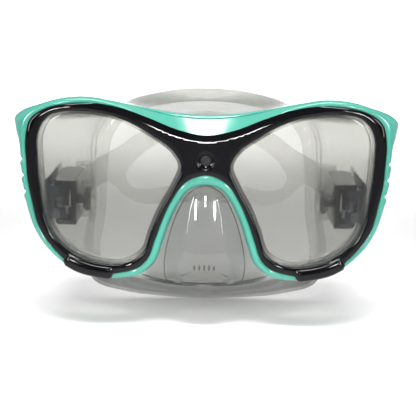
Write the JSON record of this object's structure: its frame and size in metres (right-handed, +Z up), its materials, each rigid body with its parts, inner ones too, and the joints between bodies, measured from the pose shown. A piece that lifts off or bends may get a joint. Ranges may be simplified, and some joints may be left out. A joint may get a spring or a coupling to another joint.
{
  "type": "diving mask",
  "caption": "Twin-lens diving mask with coloured frame, black bezel, clear silicone skirt with nose pocket, swivelling quick-release buckles and a split strap.",
  "frame": {"origin": "centre of the face opening, on the plane of the face seal", "axes": "+Z up as worn, the lenses face -Y, +X to the right as seen from the front"},
  "size_m": [0.167, 0.1485, 0.1118],
  "materials": {
    "turquoise_gloss": "polished moulded polycarbonate",
    "black_gloss": "polished black",
    "clear_glass": "tempered, clear",
    "clear_silicone": "translucent silicone, satin",
    "smoke_plastic": "translucent smoke",
    "blue_grey_plastic": "translucent blue-grey",
    "grey_acetal": "satin grey",
    "steel": "stainless"
  },
  "bodies": {
    "mask": {"frame": "turquoise_gloss", "bezel": "black_gloss", "left_lens": "clear_glass", "right_lens": "clear_glass", "skirt": "clear_silicone", "bridge_stud": "steel", "right_swivel_post": "grey_acetal", "right_swivel_cap": "grey_acetal", "left_swivel_post": "grey_acetal", "left_swivel_cap": "grey_acetal"},
    "strap": {"strap": "clear_silicone", "left_keeper": "clear_silicone", "right_keeper": "clear_silicone"},
    "right_buckle": {"right_buckle_body": "smoke_plastic", "right_roller_pin": "steel", "right_lever_pin": "steel", "right_lever_spring": "steel"},
    "right_roller": {"right_roller": "grey_acetal"},
    "right_lever": {"right_release_lever": "blue_grey_plastic"},
    "left_buckle": {"left_buckle_body": "smoke_plastic", "left_roller_pin": "steel", "left_lever_pin": "steel", "left_lever_spring": "steel"},
    "left_roller": {"left_roller": "grey_acetal"},
    "left_lever": {"left_release_lever": "blue_grey_plastic"}
  },
  "joints": [
    {"name": "strap_swing", "type": "hinge", "parent": "mask", "child": "strap", "pos_m": [0, -0.016, 0.002], "axis": [1, 0, 0], "range_deg": [-25, 45]},
    {"name": "right_buckle_swivel", "type": "hinge", "parent": "mask", "child": "right_buckle", "pos_m": [0.064, -0.016, 0.002], "axis": [1, 0, 0], "range_deg": [-25, 45]},
    {"name": "right_roller_turn", "type": "hinge", "parent": "right_buckle", "child": "right_roller", "pos_m": [0.068, 0.0019, 0.00388], "axis": [0, -0.1045, 0.9945], "continuous": true},
    {"name": "right_lever_release", "type": "hinge", "parent": "right_buckle", "child": "right_lever", "pos_m": [0.071, -0.02197, 0.00137], "axis": [0, 0.1045, -0.9945], "range_deg": [0, 15], "stiffness_Nm_per_rad": 0.08, "springref_deg": -5.73},
    {"name": "left_buckle_swivel", "type": "hinge", "parent": "mask", "child": "left_buckle", "pos_m": [-0.064, -0.016, 0.002], "axis": [1, 0, 0], "range_deg": [-25, 45]},
    {"name": "left_roller_turn", "type": "hinge", "parent": "left_buckle", "child": "left_roller", "pos_m": [-0.068, 0.0019, 0.00388], "axis": [0, -0.1045, 0.9945], "continuous": true},
    {"name": "left_lever_release", "type": "hinge", "parent": "left_buckle", "child": "left_lever", "pos_m": [-0.071, -0.02197, 0.00137], "axis": [0, -0.1045, 0.9945], "range_deg": [0, 15], "stiffness_Nm_per_rad": 0.08, "springref_deg": -5.73}
  ],
  "couplings": [
    {"joint": "right_buckle_swivel", "follows": "strap_swing", "ratio": 1},
    {"joint": "left_buckle_swivel", "follows": "strap_swing", "ratio": 1}
  ]
}
